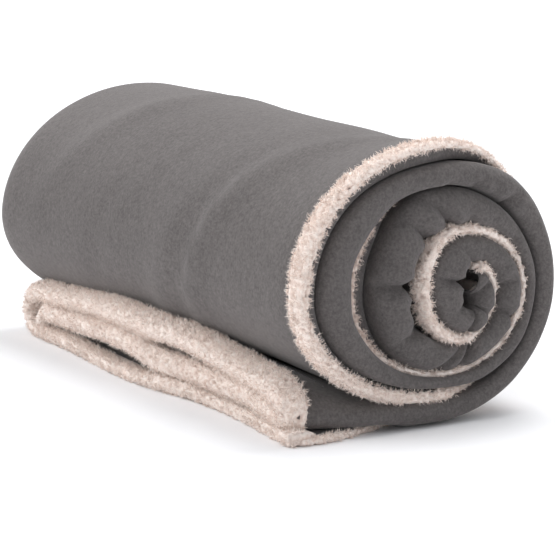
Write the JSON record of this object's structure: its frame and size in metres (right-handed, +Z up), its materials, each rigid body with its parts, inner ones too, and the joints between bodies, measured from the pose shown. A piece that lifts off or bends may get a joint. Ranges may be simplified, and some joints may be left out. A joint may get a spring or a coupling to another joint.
{
  "type": "throw blanket",
  "caption": "Two-ply fleece and sherpa throw blanket with a sherpa border, folded in four lengthwise and rolled up with a short free tail.",
  "frame": {"origin": "middle of the bounding box, on the surface that the roll lies on", "axes": "+X along the roll towards the end where both long borders show, -Y towards the free tail, +Z up"},
  "size_m": [0.381, 0.184, 0.164],
  "materials": {
    "fleece": "brushed short-pile microfleece, soft sheen",
    "sherpa": "curly deep-pile sherpa fleece, matte",
    "border_sherpa": "curly deep-pile sherpa border, matte",
    "thread": "spun polyester sewing thread"
  },
  "bodies": {
    "root": {"face_fleece": "fleece", "sherpa_backing": "sherpa", "long_border_outer": "border_sherpa", "long_border_inner": "border_sherpa", "tail_border": "border_sherpa", "core_border": "border_sherpa", "long_seam_outer": "thread", "long_seam_inner": "thread", "tail_seam": "thread", "core_seam": "thread"}
  },
  "joints": []
}
